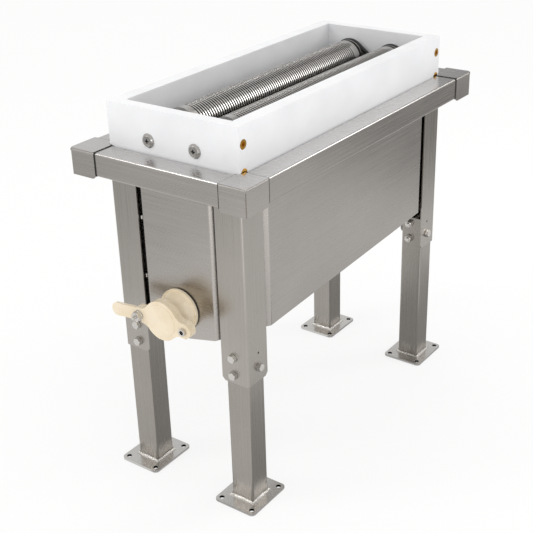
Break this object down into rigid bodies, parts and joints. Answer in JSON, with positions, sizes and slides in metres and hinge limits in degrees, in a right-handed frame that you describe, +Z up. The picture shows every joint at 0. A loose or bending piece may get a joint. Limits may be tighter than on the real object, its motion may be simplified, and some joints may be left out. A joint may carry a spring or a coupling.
{
  "type": "roller uncapper",
  "caption": "Open steel honey tub on bolted legs with a lift-out white box of ribbed rollers that turn against each other to open capped comb, and a swing-blade honey gate in its front end.",
  "frame": {"origin": "centre of the stand on the floor: the middle of the rectangle made by the outermost hole of each foot plate, level with the plates' undersides", "axes": "+X across the rollers, towards the gate's pivot side; +Y along the rollers, away from the gate; +Z up"},
  "size_m": [0.355, 0.7531, 0.69],
  "materials": {
    "stainless_sheet": "brushed stainless sheet, grain along the sheet's length",
    "stainless_section": "brushed stainless section, grain up and down",
    "fastener_steel": "bright turned stainless",
    "gate_plastic": "glossy cream moulding",
    "seal_rubber": "matte black",
    "box_plastic": "white food-grade board, slightly waxy",
    "bolt_brass": "worn brass",
    "axle_steel": "turned bright steel",
    "roller_aluminium": "turned, rib crests polished",
    "bush_plastic": "natural nylon",
    "belt_rubber": "matte black"
  },
  "bodies": {
    "stand": {"tub_wrap": "stainless_sheet", "tub_end_front": "stainless_sheet", "tub_end_rear": "stainless_sheet", "rim_rail_front": "stainless_sheet", "rim_rail_rear": "stainless_sheet", "rim_rail_left": "stainless_sheet", "rim_rail_right": "stainless_sheet", "corner_cap_front_left": "stainless_sheet", "upright_front_left": "stainless_section", "leg_front_left": "stainless_section", "foot_plate_front_left": "stainless_section", "corner_cap_front_right": "stainless_sheet", "upright_front_right": "stainless_section", "leg_front_right": "stainless_section", "foot_plate_front_right": "stainless_section", "corner_cap_rear_left": "stainless_sheet", "upright_rear_left": "stainless_section", "leg_rear_left": "stainless_section", "foot_plate_rear_left": "stainless_section", "corner_cap_rear_right": "stainless_sheet", "upright_rear_right": "stainless_section", "leg_rear_right": "stainless_section", "foot_plate_rear_right": "stainless_section", "leg_bolts": "fastener_steel", "leg_washers": "fastener_steel", "leg_nuts": "fastener_steel", "gate_pivot_screw": "fastener_steel", "gate_stud": "fastener_steel", "gate_body": "gate_plastic", "gate_backnut": "gate_plastic", "gate_seal": "seal_rubber"},
    "gate_blade": {"gate_blade": "gate_plastic"},
    "gate_lock_nut": {"gate_lock_nut": "fastener_steel"},
    "roller_box": {"box_side_left": "box_plastic", "box_side_right": "box_plastic", "box_end_front": "box_plastic", "box_end_rear": "box_plastic", "corner_bolts": "bolt_brass", "axle_screws": "fastener_steel", "cup_washers": "fastener_steel", "axle_left": "axle_steel", "axle_right": "axle_steel", "front_spacers": "axle_steel", "rear_spacers": "axle_steel", "drive_belt": "belt_rubber"},
    "roller_left": {"roller_left_shell": "roller_aluminium", "roller_left_plugs": "roller_aluminium", "roller_left_bushes": "bush_plastic", "roller_left_pulley": "roller_aluminium"},
    "roller_right": {"roller_right_shell": "roller_aluminium", "roller_right_plugs": "roller_aluminium", "roller_right_bushes": "bush_plastic", "roller_right_pulley": "roller_aluminium"}
  },
  "joints": [
    {"name": "box_lift", "type": "slide", "parent": "stand", "child": "roller_box", "axis": [0, 0, 1], "range_m": [0, 0.15]},
    {"name": "roller_left_spin", "type": "hinge", "parent": "roller_box", "child": "roller_left", "pos_m": [-0.047, 0, 0.637], "axis": [0, 1, 0], "continuous": true},
    {"name": "roller_right_spin", "type": "hinge", "parent": "roller_box", "child": "roller_right", "pos_m": [0.047, 0, 0.637], "axis": [0, 1, 0], "continuous": true},
    {"name": "gate_blade_turn", "type": "hinge", "parent": "stand", "child": "gate_blade", "pos_m": [0.047, -0.3693, 0.347], "axis": [0, 1, 0], "range_deg": [0, 90]},
    {"name": "gate_lock_nut_turn", "type": "hinge", "parent": "stand", "child": "gate_lock_nut", "pos_m": [-0.048, -0.3781, 0.35], "axis": [0, 1, 0], "continuous": true}
  ],
  "couplings": [
    {"joint": "roller_right_spin", "follows": "roller_left_spin", "ratio": -1}
  ]
}
